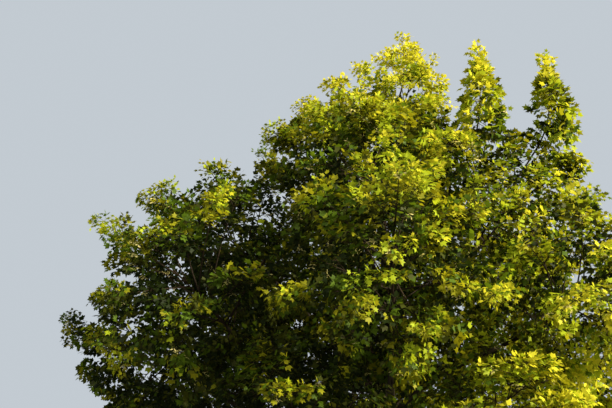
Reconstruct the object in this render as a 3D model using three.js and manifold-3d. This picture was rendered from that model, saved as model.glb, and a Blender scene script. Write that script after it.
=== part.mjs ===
// An open-grown maple in full late-spring leaf, standing on level ground. Millimetres, +Z up.
// The origin is the middle of the flat cut under the trunk. -Y is the side the tree is seen from.
//
// One trunk runs up through the crown. Main boughs leave it, some of them fork, and each bough
// ends where it enters a mass of foliage. The masses sit in tiers that give the crown its domed
// outline, and two upright spires stand on the near right side.

import * as THREE from 'three';
import { mergeVertices } from 'three/addons/utils/BufferGeometryUtils.js';
import Module from 'manifold-3d';

const wasm = await Module();
wasm.setup();

// Driving dimensions

const GAP = 0.35; // clear space between two pieces that meet
const CLEARANCE = 25; // between foliage and any limb that isn't its own
const CELL_MARGIN = 14; // between a mass and the plane that parts it from its neighbour
const SMOOTHING = 0.1; // how far a surface may move where needless points are dropped
const SAME_POINT = 1e-3; // vertices nearer than this are one
const SEEDS = { tiers: 100, masses: 1000, perTier: 20, spires: 2000, cores: 500, sprays: 250 };

const TRUNK = {
  top: 11400, // the trunk ends inside the top mass
  footRadius: 215,
  tipRadius: 17,
  taper: 1.2,
  flare: 125, // how far the root flare stands out at the ground
  flareHeight: 300,
  buttresses: 5,
  buttressShare: 0.34,
  buttressTurn: 0.7,
  lean: 0.019, // mm sideways for each mm of height
  swing: 400, // the leader's extra bend near its tip
  swingFrom: 8800,
  sides: 14,
  rings: 13,
  crowding: 1.7, // draws the rings towards the ground, where the flare needs them
};

// Tiers of masses, from the lowest: how many, the height and distance of their middles from
// the trunk's foot, their half width and half height, and the bearing of the first one,
// counted anticlockwise from +X. shift moves a whole tier along +X, and tilt raises it on that
// side.
const TIERS = [
  { name: 'skirt', count: 6, height: 4500, out: 2600, wide: 1720, tall: 1350, bearing: 240, shift: 0, tilt: 0 },
  { name: 'broad', count: 8, height: 6150, out: 3720, wide: 1780, tall: 1420, bearing: 178, shift: 0, tilt: 0 },
  { name: 'shoulder', count: 6, height: 7900, out: 2500, wide: 1720, tall: 1400, bearing: 203, shift: 0, tilt: 200 },
  { name: 'upper', count: 4, height: 9300, out: 1200, wide: 1300, tall: 1200, bearing: 215, shift: 200, tilt: 0 },
  { name: 'crest', count: 3, height: 10850, out: 600, wide: 1000, tall: 1150, bearing: 180, shift: 250, tilt: 0 },
  { name: 'top', count: 1, height: 11950, out: 0, wide: 520, tall: 850, bearing: 0, shift: 720, tilt: 0 },
  { name: 'inner', count: 3, height: 6300, out: 1350, wide: 1300, tall: 1100, bearing: 150, shift: 0, tilt: 0 },
];
const LEAD_RISE = { least: -0.05, most: 0.4 }; // how steeply a mass's leading shoot climbs
const UPRIGHT = ['top', 'spire']; // tiers whose leading shoots stand straight up

// The spires: the middle of each, and how far along its parent bough its own bough leaves
const SPIRES = [
  { x: 1750, y: -2000, height: 9700, leaves: 0.46 },
  { x: 2820, y: -2200, height: 9320, leaves: 0.6 },
];
const SPIRE_TIER = { name: 'spire', wide: 520, tall: 1300, hold: 1200 };
const SPIRE_PARENT = 'shoulder_3';

// How each tier hangs on the tree. foot is the height at which its first bough leaves the
// trunk and step the rise to the next one. Where forked is true, every second bough leaves
// the one before it instead. Tiers with no bough have their stems on the trunk itself.
const BOUGHS = {
  skirt: { foot: 2300, step: 120, radius: 58, tip: 27, arch: 0.15, forked: false },
  broad: { foot: 3350, step: 230, radius: 84, tip: 30, arch: 0.12, forked: true },
  shoulder: { foot: 5150, step: 250, radius: 66, tip: 26, arch: 0.05, forked: true },
  upper: { foot: 7150, step: 260, radius: 40, tip: 19, arch: 0.02, forked: false },
  spire: { radius: 30, tip: 15, follow: 0.14 },
};
const BOUGH = {
  sides: 6,
  rings: 5,
  taper: 0.85,
  end: 0.8, // how far from the middle of its mass it ends, as a share of the mass's reach
};
const FORK = {
  at: 0.36, // how far along its parent a forked bough leaves
  radiusShare: 0.72,
  most: 0.92, // of the parent's radius there
  follow: 0.34, // how long it keeps to its parent's line, as a share of its length
};
const COLLAR = { swell: 0.4, reach: 260 }; // the swelling where a bough leaves its parent

// The stem of a mass. drop is how far under its mass a stem on the trunk starts.
const STEM = {
  drop: { crest: 900, inner: 1250 },
  radius: { crest: 18, inner: 24 },
  climb: 300,
  sides: 5,
  rings: 2,
  end: 0.25, // how far past the middle of its mass it ends, as a share of the reach
  taper: 0.55,
  bend: 0.4,
};

// The space round each mass's leading shoot, and how far it stands out beyond the mass
const LEAD = { beyond: 60, uprightBeyond: -60, radius: 360 };

// The core of a mass, as shares of its reach: where it looks out into the open, and where it
// faces another mass
const CORE = { open: 0.58, closed: 0.82, rough: 0.1 };

const TWIG = {
  places: 16, // directions tried, spread evenly all round
  freeFrom: 0.9, // a twig grows only where this share of its reach is open
  radius: 16,
  tipRadius: 8,
  depth: 1.5, // its keel, as a share of its radius
  reachLeast: 0.9,
  reachMost: 1.0,
  lowest: 0.42, // how far along the stem the rearmost twig would leave it, and the foremost
  highest: 0.95,
};
const LEAF = {
  length: 720,
  width: 800,
  thick: 30,
  droop: 0.12,
  nod: 38, // degrees from the line of its twig
  leadNod: 8,
  lift: 0.7,
  leadSize: 1.1,
  tilt: 0.35, // how far chance turns a blade from the even lie, sideways and upwards
  tiltUp: 0.2,
  fullSizeFrom: 1150, // masses narrower than this have smaller leaves, and fewer
  leastScale: 0.55,
};
const SHRINKS = [1, 0.86, 0.72, 0.6]; // sizes tried for a blade
const DRAWN_IN = [0, 60, 140, 240]; // how far inwards it is moved, for each size

// The rim of a blade, across and along it as shares of its width and length, from its right
// lobe round to its left one
const LOBES = [
  [0.5, 0.34],
  [0.19, 0.52],
  [0, 1],
  [-0.19, 0.52],
  [-0.5, 0.34],
];
const BLADE_MIDDLE = 0.42;

const BARK = new THREE.MeshStandardMaterial({ color: 0x5c5145, roughness: 0.92, metalness: 0 });
const GREENS = [0x6f8a1f, 0x5b7a1c, 0x84992a].map(
  (color) => new THREE.MeshStandardMaterial({ color, roughness: 0.6, metalness: 0 }),
);

const UP = new THREE.Vector3(0, 0, 1);
const DEGREE = Math.PI / 180;
const GOLDEN_ANGLE = Math.PI * (3 - Math.sqrt(5));

// Chance: a small seeded generator, so the same tree grows each time

function chance(seed) {
  let state = (seed * 2654435761) >>> 0;
  const next = () => {
    state = (Math.imul(state, 1664525) + 1013904223) >>> 0;
    return state / 4294967296;
  };
  next();
  return (low, high) => low + (high - low) * next();
}

// Lines

function trunkLine() {
  const sway = (z) => {
    const bend = Math.max(0, (z - TRUNK.swingFrom) / (TRUNK.top - TRUNK.swingFrom));
    return TRUNK.lean * z + TRUNK.swing * bend * bend;
  };
  const at = (t) => new THREE.Vector3(sway(t * TRUNK.top), 0, t * TRUNK.top);
  const along = (t) => {
    if (t <= 0) return UP.clone(); // the cut at the ground is level
    const step = 0.002;
    return at(Math.min(1, t + step)).sub(at(Math.max(0, t - step))).normalize();
  };
  return { at, along };
}

function bentLine(foot, knee, tip) {
  const curve = new THREE.QuadraticBezierCurve3(foot, knee, tip);
  return {
    at: (t) => curve.getPoint(t),
    along: (t) => curve.getTangent(t).normalize(),
    length: curve.getLength(),
  };
}

function across(direction) {
  const side = new THREE.Vector3().crossVectors(direction, UP);
  if (side.lengthSq() < 0.01) side.set(1, 0, 0);
  return side.normalize();
}

// Solids

function solidOf(geometry) {
  const plain = geometry.clone();
  for (const name of Object.keys(plain.attributes)) {
    if (name !== 'position') plain.deleteAttribute(name);
  }
  const merged = mergeVertices(plain, SAME_POINT);
  return new wasm.Manifold(
    new wasm.Mesh({
      numProp: 3,
      vertProperties: new Float32Array(merged.attributes.position.array),
      triVerts: new Uint32Array(merged.index.array),
    }),
  );
}

// The points of a unit shape, each given once
function unitPoints(shape) {
  shape.deleteAttribute('normal');
  shape.deleteAttribute('uv');
  return mergeVertices(shape, 1e-5);
}

// A round limb: a unit cylinder whose vertices are carried onto the line.
// radiusAt takes the share of the way along and the angle round the limb.
function limbSolid(line, radiusAt, sides, rings) {
  const tube = unitPoints(new THREE.CylinderGeometry(1, 1, 1, sides, rings));
  const points = tube.attributes.position;
  const chord = line.at(1).sub(line.at(0)).normalize();
  const reference = across(chord);
  for (let i = 0; i < points.count; i += 1) {
    const t = points.getY(i) + 0.5;
    const direction = line.along(t);
    const side = reference.clone().addScaledVector(direction, -reference.dot(direction)).normalize();
    const other = new THREE.Vector3().crossVectors(direction, side);
    const angle = Math.atan2(points.getX(i), points.getZ(i));
    const radius = radiusAt(t, angle);
    const place = line.at(t);
    place.addScaledVector(side, points.getZ(i) * radius);
    place.addScaledVector(other, points.getX(i) * radius);
    points.setXYZ(i, place.x, place.y, place.z);
  }
  return solidOf(tube);
}

function solidFrom(points, faces) {
  const geometry = new THREE.BufferGeometry();
  geometry.setAttribute('position', new THREE.Float32BufferAttribute(points.flatMap((p) => p.toArray()), 3));
  geometry.setIndex(faces);
  return solidOf(geometry);
}

// A twig and the three-lobed blade at its end, made as one solid. The twig is three-sided and
// tapers; the blade stands for a spray of maple leaves.
function spraySolids({ foot, root, way, ahead, face, side, size }) {
  const upright = new THREE.Vector3().crossVectors(side, way);
  const ring = (middle, radius) => [
    middle.clone().addScaledVector(side, radius),
    middle.clone().addScaledVector(side, -radius),
    middle.clone().addScaledVector(upright, -radius * TWIG.depth),
  ];
  const place = (a, b, c) => {
    const outward = Math.abs(a) * 2 + Math.max(0, b - BLADE_MIDDLE);
    return root
      .clone()
      .addScaledVector(side, a * LEAF.width * size)
      .addScaledVector(ahead, b * LEAF.length * size)
      .addScaledVector(face, c - LEAF.droop * LEAF.length * size * 0.5 * outward);
  };
  const points = [
    ...ring(foot, TWIG.radius), // 0 right, 1 left, 2 under
    ...ring(root, TWIG.tipRadius), // 3 right, 4 left, 5 under
    ...LOBES.map(([a, b]) => place(a, b, 0)), // 6 to 10
    place(0, BLADE_MIDDLE, LEAF.thick * 0.5), // 11 the middle, above
    place(0, BLADE_MIDDLE, -LEAF.thick * 0.5), // 12 the middle, below
  ];
  const rim = [3, 6, 7, 8, 9, 10, 4];
  const blade = [4, 3, 11, 5, 4, 12, 3, 5, 12];
  for (let i = 0; i + 1 < rim.length; i += 1) blade.push(rim[i], rim[i + 1], 11, rim[i + 1], rim[i], 12);
  const twig = [1, 0, 3, 1, 3, 4, 0, 2, 5, 0, 5, 3, 2, 1, 4, 2, 4, 5, 0, 1, 2];
  return {
    tips: points.slice(3),
    whole: solidFrom(points, [...twig, ...blade]),
    blade: solidFrom(points, [...blade, 3, 4, 5]),
  };
}

function largestPiece(solid) {
  const pieces = solid.decompose();
  return pieces.reduce((best, piece) => (piece.volume() > best.volume() ? piece : best));
}

// A solid without needless points. What they held together by a thread is dropped too.
function cleaned(solid) {
  return largestPiece(largestPiece(solid).asOriginal().simplify(SMOOTHING));
}

function boxesMeet(a, b) {
  return [0, 1, 2].every((i) => a.min[i] <= b.max[i] && b.min[i] <= a.max[i]);
}

function withBox(solid, owner = '') {
  return { solid, owner, box: solid.boundingBox() };
}

// Spaces: each mass keeps to its own

function spaceOf(tier, index, middle, out, rise, seed) {
  const leadWay = UPRIGHT.includes(tier.name) ? UP.clone() : out.clone().setZ(rise).normalize();
  const body = { middle, wide: tier.wide, tall: tier.tall };
  const beyond = UPRIGHT.includes(tier.name) ? LEAD.uprightBeyond : LEAD.beyond;
  const leadReach = ballReach(body, middle, leadWay) + beyond - LEAD.radius * 0.5;
  const lead = {
    middle: middle.clone().addScaledVector(leadWay, leadReach),
    wide: LEAD.radius,
    tall: LEAD.radius,
  };
  return { name: `${tier.name}_${index + 1}`, tier, index, middle, leadWay, seed, body, lead };
}

function makeSpaces() {
  const spaces = [];
  TIERS.forEach((tier, row) => {
    const draw = chance(SEEDS.tiers + row);
    for (let i = 0; i < tier.count; i += 1) {
      const bearing = (tier.bearing + (360 * i) / tier.count) * DEGREE;
      const out = new THREE.Vector3(Math.cos(bearing), Math.sin(bearing), 0);
      const middle = out.clone().multiplyScalar(tier.out);
      middle.add(new THREE.Vector3(tier.shift, 0, tier.height + tier.tilt * out.x));
      const rise = draw(LEAD_RISE.least, LEAD_RISE.most);
      spaces.push(spaceOf(tier, i, middle, out, rise, SEEDS.masses + row * SEEDS.perTier + i));
    }
  });
  SPIRES.forEach((spire, i) => {
    const middle = new THREE.Vector3(spire.x, spire.y, spire.height);
    const space = spaceOf(SPIRE_TIER, i, middle, UP, 0, SEEDS.spires + i);
    spaces.push({ ...space, leaves: spire.leaves });
  });
  for (const space of spaces) space.planes = planesRound(space, spaces);
  return spaces;
}

// The planes that part a mass from the others: each stands across the line between two
// middles, nearer to the mass with the lesser hold, which is its half width unless it is given
function planesRound(space, spaces) {
  const holdOf = ({ tier }) => tier.hold ?? tier.wide;
  return spaces
    .filter((other) => other !== space)
    .map((other) => {
      const way = other.middle.clone().sub(space.middle);
      const apart = way.length();
      const reach = (apart * apart + holdOf(space) ** 2 - holdOf(other) ** 2) / (2 * apart);
      return { way: way.normalize(), reach: reach - CELL_MARGIN };
    });
}

// How far it is from a point, along a direction, to the far side of a ball; 0 if it misses
function ballReach(ball, from, direction) {
  const scale = new THREE.Vector3(1 / ball.wide, 1 / ball.wide, 1 / ball.tall);
  const p = from.clone().sub(ball.middle).multiply(scale);
  const d = direction.clone().multiply(scale);
  const a = d.dot(d);
  const b = p.dot(d);
  const inside = b * b - a * (p.dot(p) - 1);
  if (inside <= 0) return 0;
  return Math.max(0, (-b + Math.sqrt(inside)) / a);
}

// How far it is from the middle of a mass to the first of its planes
function planeReach(mass, way) {
  let reach = Infinity;
  for (const plane of mass.planes) {
    const closing = way.dot(plane.way);
    if (closing > 1e-6) reach = Math.min(reach, plane.reach / closing);
  }
  return reach;
}

// The room from the middle of a mass, along a direction, to where its space ends
function room(mass, ball, way) {
  return Math.min(ballReach(ball, mass.middle, way), planeReach(mass, way));
}

function holds(space, point) {
  const held = [space.body, space.lead].some((ball) => {
    const p = point.clone().sub(ball.middle);
    return (p.x * p.x + p.y * p.y) / ball.wide ** 2 + (p.z * p.z) / ball.tall ** 2 < 1;
  });
  const from = point.clone().sub(space.middle);
  return held && space.planes.every((plane) => from.dot(plane.way) < plane.reach);
}

// Trunk and boughs

function trunkRadius(grown = 0) {
  return (t, angle) => {
    const z = t * TRUNK.top;
    const stem = TRUNK.tipRadius + (TRUNK.footRadius - TRUNK.tipRadius) * (1 - t) ** TRUNK.taper;
    const lobes = 1 + TRUNK.buttressShare * Math.cos(TRUNK.buttresses * angle + TRUNK.buttressTurn);
    return stem + TRUNK.flare * Math.exp(-z / TRUNK.flareHeight) * lobes + grown;
  };
}

function trunkSolid(line, grown = 0) {
  const crowded = (t) => t ** TRUNK.crowding;
  const eased = { at: (t) => line.at(crowded(t)), along: (t) => line.along(crowded(t)) };
  const radiusAt = trunkRadius(grown);
  return limbSolid(eased, (t, angle) => radiusAt(crowded(t), angle), TRUNK.sides, TRUNK.rings);
}

function boughRadius(bough, grown = 0) {
  return (t) => {
    const even = bough.radius + (bough.tip - bough.radius) * t ** BOUGH.taper;
    const collar = COLLAR.swell * bough.radius * Math.exp((-t * bough.line.length) / COLLAR.reach);
    return even + collar + grown;
  };
}

function boughSolid(bough, grown = 0) {
  return limbSolid(bough.line, boughRadius(bough, grown), BOUGH.sides, BOUGH.rings);
}

// The bough that a mass's own bough leaves, and how far along it; null if it leaves the trunk
function forkOf(mass, boughs) {
  if (mass.tier === SPIRE_TIER) {
    return { parent: boughs.find((bough) => bough.name === `bough_${SPIRE_PARENT}`), at: mass.leaves };
  }
  const forks = BOUGHS[mass.tier.name].forked && mass.index % 2 === 1;
  return forks ? { parent: boughs[boughs.length - 1], at: FORK.at } : null;
}

function makeBoughs(trunk, masses) {
  const boughs = [];
  for (const mass of masses) {
    const rule = BOUGHS[mass.tier.name];
    if (!rule) continue;
    const fork = forkOf(mass, boughs);
    const height = rule.foot + rule.step * mass.index;
    const foot = fork ? fork.parent.line.at(fork.at) : trunk.at(height / TRUNK.top);
    const inward = foot.clone().sub(mass.middle).normalize();
    const end = BOUGH.end * ballReach(mass.body, mass.middle, inward);
    const tip = mass.middle.clone().addScaledVector(inward, end);
    const chord = tip.clone().sub(foot);
    const follow = rule.follow ?? FORK.follow;
    const knee = fork
      ? foot.clone().addScaledVector(fork.parent.line.along(fork.at), follow * chord.length())
      : foot.clone().addScaledVector(chord, 0.5).addScaledVector(UP, rule.arch * chord.length());
    const radius = fork
      ? Math.min(rule.radius * FORK.radiusShare, boughRadius(fork.parent)(fork.at) * FORK.most)
      : rule.radius;
    const line = bentLine(foot, knee, tip);
    mass.bough = { name: `bough_${mass.name}`, line, radius, tip: rule.tip, parent: fork?.parent };
    boughs.push(mass.bough);
  }
  return boughs;
}

// Foliage

// The stem of a mass goes on from its bough's tip or the trunk's, or leaves the trunk's side,
// and runs out past the middle of the mass
function makeStem(mass, trunk) {
  const past = STEM.end * room(mass, mass.body, mass.leadWay);
  const end = mass.middle.clone().addScaledVector(mass.leadWay, past);
  const { name } = mass.tier;
  let foot;
  let heading;
  let radius;
  if (STEM.drop[name]) {
    foot = trunk.at((mass.middle.z - STEM.drop[name]) / TRUNK.top);
    heading = mass.middle.clone().sub(foot).addScaledVector(UP, STEM.climb).normalize();
    radius = STEM.radius[name];
  } else {
    const parent = mass.bough ? mass.bough.line : trunk;
    heading = parent.along(1);
    foot = parent.at(1).addScaledVector(heading, GAP);
    radius = mass.bough ? mass.bough.tip : TRUNK.tipRadius;
  }
  const knee = foot.clone().addScaledVector(heading, STEM.bend * foot.distanceTo(end));
  return { line: bentLine(foot, knee, end), radius };
}

function stemSolid(stem, grown = 0) {
  return limbSolid(stem.line, (t) => stem.radius * (1 - STEM.taper * t) + grown, STEM.sides, STEM.rings);
}

function coreSolid(mass) {
  const draw = chance(mass.seed + SEEDS.cores);
  const ball = unitPoints(new THREE.IcosahedronGeometry(1, 1));
  const points = ball.attributes.position;
  for (let i = 0; i < points.count; i += 1) {
    const way = new THREE.Vector3().fromBufferAttribute(points, i).normalize();
    const open = ballReach(mass.body, mass.middle, way) * CORE.open * (1 + draw(-CORE.rough, CORE.rough));
    const closed = planeReach(mass, way) * CORE.closed;
    const place = mass.middle.clone().addScaledVector(way, Math.min(open, closed));
    points.setXYZ(i, place.x, place.y, place.z);
  }
  return solidOf(ball);
}

function leafScale(mass) {
  return THREE.MathUtils.clamp(mass.tier.wide / LEAF.fullSizeFrom, LEAF.leastScale, 1);
}

// Twigs leave the stem towards directions in a golden-angle spiral, wherever the mass looks
// out into the open. The leading shoot goes on from the stem.
function makeTwigs(mass, stem) {
  const draw = chance(mass.seed);
  const leadTip = mass.middle.clone().addScaledVector(mass.leadWay, room(mass, mass.lead, mass.leadWay));
  const twigs = [{ foot: stem.line.at(TWIG.highest), tip: leadTip, size: LEAF.leadSize, nod: LEAF.leadNod }];
  const places = Math.round(TWIG.places * Math.sqrt(leafScale(mass)));
  for (let i = 0; i < places; i += 1) {
    const height = 1 - (2 * (i + 0.5)) / places;
    const flat = Math.sqrt(1 - height * height);
    const turn = i * GOLDEN_ANGLE + mass.seed;
    const way = new THREE.Vector3(flat * Math.cos(turn), flat * Math.sin(turn), height);
    const open = ballReach(mass.body, mass.middle, way);
    const reach = open * draw(TWIG.reachLeast, TWIG.reachMost);
    if (planeReach(mass, way) < open * TWIG.freeFrom) continue;
    const t = THREE.MathUtils.mapLinear(way.dot(mass.leadWay), -1, 1, TWIG.lowest, TWIG.highest);
    const tip = mass.middle.clone().addScaledVector(way, reach);
    twigs.push({ foot: stem.line.at(t), tip, size: 1, nod: LEAF.nod });
  }
  return twigs;
}

// Fits the blade at the end of a twig. It nods forward and faces up and outwards, and it is
// made smaller or drawn in where the space is tight, or left out.
function makeSpray(mass, twig, draw, clear) {
  const way = twig.tip.clone().sub(twig.foot).normalize();
  const outward = twig.tip.clone().sub(mass.middle).normalize();
  const chanceTilt = new THREE.Vector3(
    draw(-LEAF.tilt, LEAF.tilt),
    draw(-LEAF.tilt, LEAF.tilt),
    draw(-LEAF.tiltUp, LEAF.tiltUp),
  );
  const lift = UP.clone().add(outward).multiplyScalar(LEAF.lift).add(chanceTilt);
  const side = new THREE.Vector3().crossVectors(way, lift).normalize();
  const ahead = way.clone().applyAxisAngle(side, -twig.nod * DEGREE);
  const face = new THREE.Vector3().crossVectors(side, ahead);
  for (const shrink of SHRINKS) {
    const size = shrink * twig.size * leafScale(mass);
    for (const drawnIn of DRAWN_IN) {
      const tip = twig.tip.clone().addScaledVector(way, -drawnIn);
      const root = tip.addScaledVector(ahead, -LEAF.length * size);
      const spray = spraySolids({ foot: twig.foot, root, way, ahead, face, side, size });
      if (spray.tips.every((point) => holds(mass, point)) && clear(spray)) return spray;
    }
  }
  return null;
}

// The solid of a mass: core, stem and sprays as one. The core gives way to passing limbs, and
// a spray that would touch one, or another spray's blade, is left out.
function massSolid(mass, stem, passing, nearTrunk) {
  const draw = chance(mass.seed + SEEDS.sprays);
  let core = coreSolid(mass);
  const coreBox = core.boundingBox();
  for (const limb of passing) {
    if (boxesMeet(coreBox, limb.box)) core = core.subtract(limb.solid);
  }
  const blades = [];
  const wholes = [];
  const misses = (item, others) =>
    others.every((other) => !boxesMeet(item.box, other.box) || item.solid.intersect(other.solid).isEmpty());
  for (const twig of makeTwigs(mass, stem)) {
    const spray = makeSpray(mass, twig, draw, (tried) => {
      const whole = withBox(tried.whole);
      const blade = withBox(tried.blade);
      return misses(whole, passing) && misses(whole, blades) && misses(blade, [...wholes, withBox(core)]);
    });
    if (spray) {
      blades.push(withBox(spray.blade));
      wholes.push(withBox(spray.whole));
    }
  }
  const joined = [core, stemSolid(stem).subtract(nearTrunk), ...wholes.map((item) => item.solid)];
  return cleaned(wasm.Manifold.union(joined));
}

// The tree

function nodeOf(name, solid, material) {
  const mesh = solid.getMesh();
  const geometry = new THREE.BufferGeometry();
  geometry.setAttribute('position', new THREE.Float32BufferAttribute(mesh.vertProperties, 3));
  geometry.setIndex(Array.from(mesh.triVerts));
  const node = new THREE.Mesh(geometry, material);
  node.name = name;
  return node;
}

function makeTree() {
  const tree = new THREE.Group();
  const trunk = trunkLine();
  const masses = makeSpaces();
  const boughs = makeBoughs(trunk, masses);
  const stems = masses.map((mass) => makeStem(mass, trunk));
  tree.add(nodeOf('trunk', trunkSolid(trunk), BARK));

  const nearTrunk = trunkSolid(trunk, GAP);
  for (const bough of boughs) {
    let solid = boughSolid(bough).subtract(nearTrunk);
    if (bough.parent) solid = solid.subtract(boughSolid(bough.parent, GAP));
    tree.add(nodeOf(bough.name, cleaned(solid), BARK));
  }

  const limbs = [trunkSolid(trunk, CLEARANCE), ...boughs.map((bough) => boughSolid(bough, CLEARANCE))];
  const passing = [
    ...limbs.map((solid) => withBox(solid)),
    ...masses.map((mass, i) => withBox(stemSolid(stems[i], CLEARANCE), mass.name)),
  ];
  masses.forEach((mass, i) => {
    const others = passing.filter((limb) => limb.owner !== mass.name);
    const solid = massSolid(mass, stems[i], others, nearTrunk);
    tree.add(nodeOf(`foliage_${mass.name}`, solid, GREENS[i % GREENS.length]));
  });
  return tree;
}

const tree = makeTree();

export default tree;
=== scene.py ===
# A maple in full leaf, dressed round its construction model. Metres, +Z up, in the model's own
# frame: the origin is the middle of the flat cut under the trunk, and -Y is the side that the
# tree is seen from.
#
# The trunk and the boughs get bark with its ridges modelled. Each mass of foliage grows again
# from its bough by the construction model's rule and seeds, and is carried on from twigs to
# side twigs, shoots, leaves and bunches of keys, all within the reach that the mass has there.

import math
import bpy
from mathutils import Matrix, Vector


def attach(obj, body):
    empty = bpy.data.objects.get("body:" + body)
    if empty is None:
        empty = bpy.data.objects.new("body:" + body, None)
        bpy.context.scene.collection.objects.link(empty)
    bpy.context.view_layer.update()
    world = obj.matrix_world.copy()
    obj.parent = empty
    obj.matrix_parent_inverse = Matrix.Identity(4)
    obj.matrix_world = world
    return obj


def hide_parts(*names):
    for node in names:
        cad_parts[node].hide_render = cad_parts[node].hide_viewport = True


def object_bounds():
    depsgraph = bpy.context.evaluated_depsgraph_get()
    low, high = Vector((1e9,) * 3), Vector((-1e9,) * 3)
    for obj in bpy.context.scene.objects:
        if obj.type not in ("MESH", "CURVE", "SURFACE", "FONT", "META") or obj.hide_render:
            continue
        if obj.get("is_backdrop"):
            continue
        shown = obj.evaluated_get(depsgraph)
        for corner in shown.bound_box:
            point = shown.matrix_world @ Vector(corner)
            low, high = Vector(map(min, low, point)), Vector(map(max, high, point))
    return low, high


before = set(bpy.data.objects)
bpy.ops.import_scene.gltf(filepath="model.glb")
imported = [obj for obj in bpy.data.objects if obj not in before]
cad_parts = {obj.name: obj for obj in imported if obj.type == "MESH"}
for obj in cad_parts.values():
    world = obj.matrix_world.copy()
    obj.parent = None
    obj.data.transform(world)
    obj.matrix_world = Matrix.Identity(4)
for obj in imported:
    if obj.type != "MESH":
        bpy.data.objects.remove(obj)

from types import SimpleNamespace

import bmesh
import bpy
import numpy as np
from mathutils import Vector, noise

cad_low, cad_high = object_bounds()

# Driving dimensions of the construction model's rule

CELL_MARGIN = 0.014  # between a mass and the plane that parts it from its neighbour
SEEDS = {"tiers": 100, "masses": 1000, "per_tier": 20, "spires": 2000}

TRUNK = SimpleNamespace(
    top=11.4,
    foot_radius=0.215,
    tip_radius=0.017,
    taper=1.2,
    flare=0.125,  # how far the root flare stands out at the ground
    flare_height=0.3,
    buttresses=5,
    buttress_share=0.34,  # of the flare
    buttress_turn=0.7,
    lean=0.019,
    swing=0.4,  # how far the leader bends towards +X, from this height on
    swing_from=8.8,
    crowding=1.7,  # above 1, the rings of its bark lie closer at the foot
)


def tier(name, count, height, out, wide, tall, bearing, shift=0.0, tilt=0.0, hold=None):
    hold = hold or wide
    return SimpleNamespace(**locals())


# Tiers of masses, from the lowest: how many, the height and distance of their middles from the
# trunk's foot, their half width and half height, and the bearing of the first one. shift moves
# a whole tier along +X, and tilt raises it on that side. Where two masses meet, the plane that
# parts them stands nearer to the one with the lesser hold
TIERS = [
    tier("skirt", 6, 4.5, 2.6, 1.72, 1.35, 240),
    tier("broad", 8, 6.15, 3.72, 1.78, 1.42, 178),
    tier("shoulder", 6, 7.9, 2.5, 1.72, 1.4, 203, tilt=0.2),
    tier("upper", 4, 9.3, 1.2, 1.3, 1.2, 215, shift=0.2),
    tier("crest", 3, 10.85, 0.6, 1.0, 1.15, 180, shift=0.25),
    tier("top", 1, 11.95, 0.0, 0.52, 0.85, 0, shift=0.72),
    tier("inner", 3, 6.3, 1.35, 1.3, 1.1, 150),
]
LEAD_RISE = (-0.05, 0.4)  # of a mass's leading twig, for each metre outwards
UPRIGHT = ("top", "spire")  # the masses that grow straight up round their stems
SPIRE_TIER = tier("spire", 2, 0.0, 0.0, 0.52, 1.3, 0, hold=1.2)
# The two spires: their middles, where their boughs leave the parent bough, and how wide they
# are at the heights that SLIM gives, as shares of the tier's half width
SPIRES = [
    SimpleNamespace(middle=(1.75, -2.0, 9.7), leaves=0.46, widths=(1.1, 0.85, 0.48, 0.05)),
    SimpleNamespace(middle=(2.82, -2.2, 9.32), leaves=0.6, widths=(1.1, 0.5, 0.46, 0.0)),
]
SPIRE_PARENT = "shoulder_3"


def boughs_of(foot, step, radius, tip, arch, forked):
    return SimpleNamespace(**locals())


# The boughs of each tier: the height of the first one's foot on the trunk and the step to the
# next, the radius at foot and tip, how high they arch, and whether every second one is a fork
# of the one before
BOUGHS = {
    "skirt": boughs_of(2.3, 0.12, 0.058, 0.027, 0.15, False),
    "broad": boughs_of(3.35, 0.23, 0.084, 0.03, 0.12, True),
    "shoulder": boughs_of(5.15, 0.25, 0.066, 0.026, 0.05, True),
    "upper": boughs_of(7.15, 0.26, 0.04, 0.019, 0.02, False),
    "spire": SimpleNamespace(radius=0.03, tip=0.015, follow=0.14),
}
BOUGH_TAPER = 0.85
BOUGH_END = 0.8  # how far from its mass's middle a bough ends, as a share of the mass
# Where a fork leaves its parent, its radius as a share of the rule's and at most of its
# parent's, and how far it follows the parent's way before it bends off
FORK = SimpleNamespace(at=0.36, radius_share=0.72, most=0.92, follow=0.34)
COLLAR = SimpleNamespace(swell=0.4, reach=0.26)  # the swelling at a bough's foot
# Masses without a bough: how far below their middles their stems leave the trunk
STEM_DROP = {"crest": 0.9, "inner": 1.25}
STEM_RADIUS = {"crest": 0.018, "inner": 0.024}
STEM = SimpleNamespace(
    climb=0.3,  # how much more than towards its mass one climbs, where it leaves the trunk
    end=0.25,  # how far beyond its mass's middle it ends, as a share of the mass
    taper=0.55,
    follow=0.4,  # how far it follows its first way before it bends off
    sides=7,
    rings=9,
)
# The tuft at the end of each mass's leading twig, and how far it stands beyond the mass
LEAD = SimpleNamespace(beyond=0.06, upright_beyond=-0.06, radius=0.36)

# How the growth is carried on from the rule: twigs all round each mass, side twigs in opposite
# pairs along them, shoots in pairs along both, and leaves in opposite pairs along the shoots

BLEND = 4.0  # how sharply the creases between masses are kept; a low number fills them more
TWIG = SimpleNamespace(
    places=26,  # directions tried in a mass of the full size, spread evenly all round
    full_size=1.78 * 1.42,
    crowding=0.75,  # below 1, small masses are more closely grown
    hemmed_in=(0.4, 0.75),  # a neighbour this near, as a share of the mass, and this far off
    grows=(0.4, 1.0),  # the chance that a twig grows there
    reach=(0.6, 1.0),
    stand_out=1.3,  # above 1, fewer twigs reach far beyond the rest
    shut_reach=0.95,  # of the way to a neighbour
    feet=(0.25, 0.97),  # from where to where along the stem they leave it
    radius=0.015,
    thickens=(1.2, 0.45, 1.1),  # the span of a twig of that radius, and its least and most
    tip_radius=0.003,
    follow=0.1,  # how far they follow the leading twig's way before they bend off
    sag=0.05,
    taper=0.8,
    rings=5,
    side_rings=3,
    sides=3,
)


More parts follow.
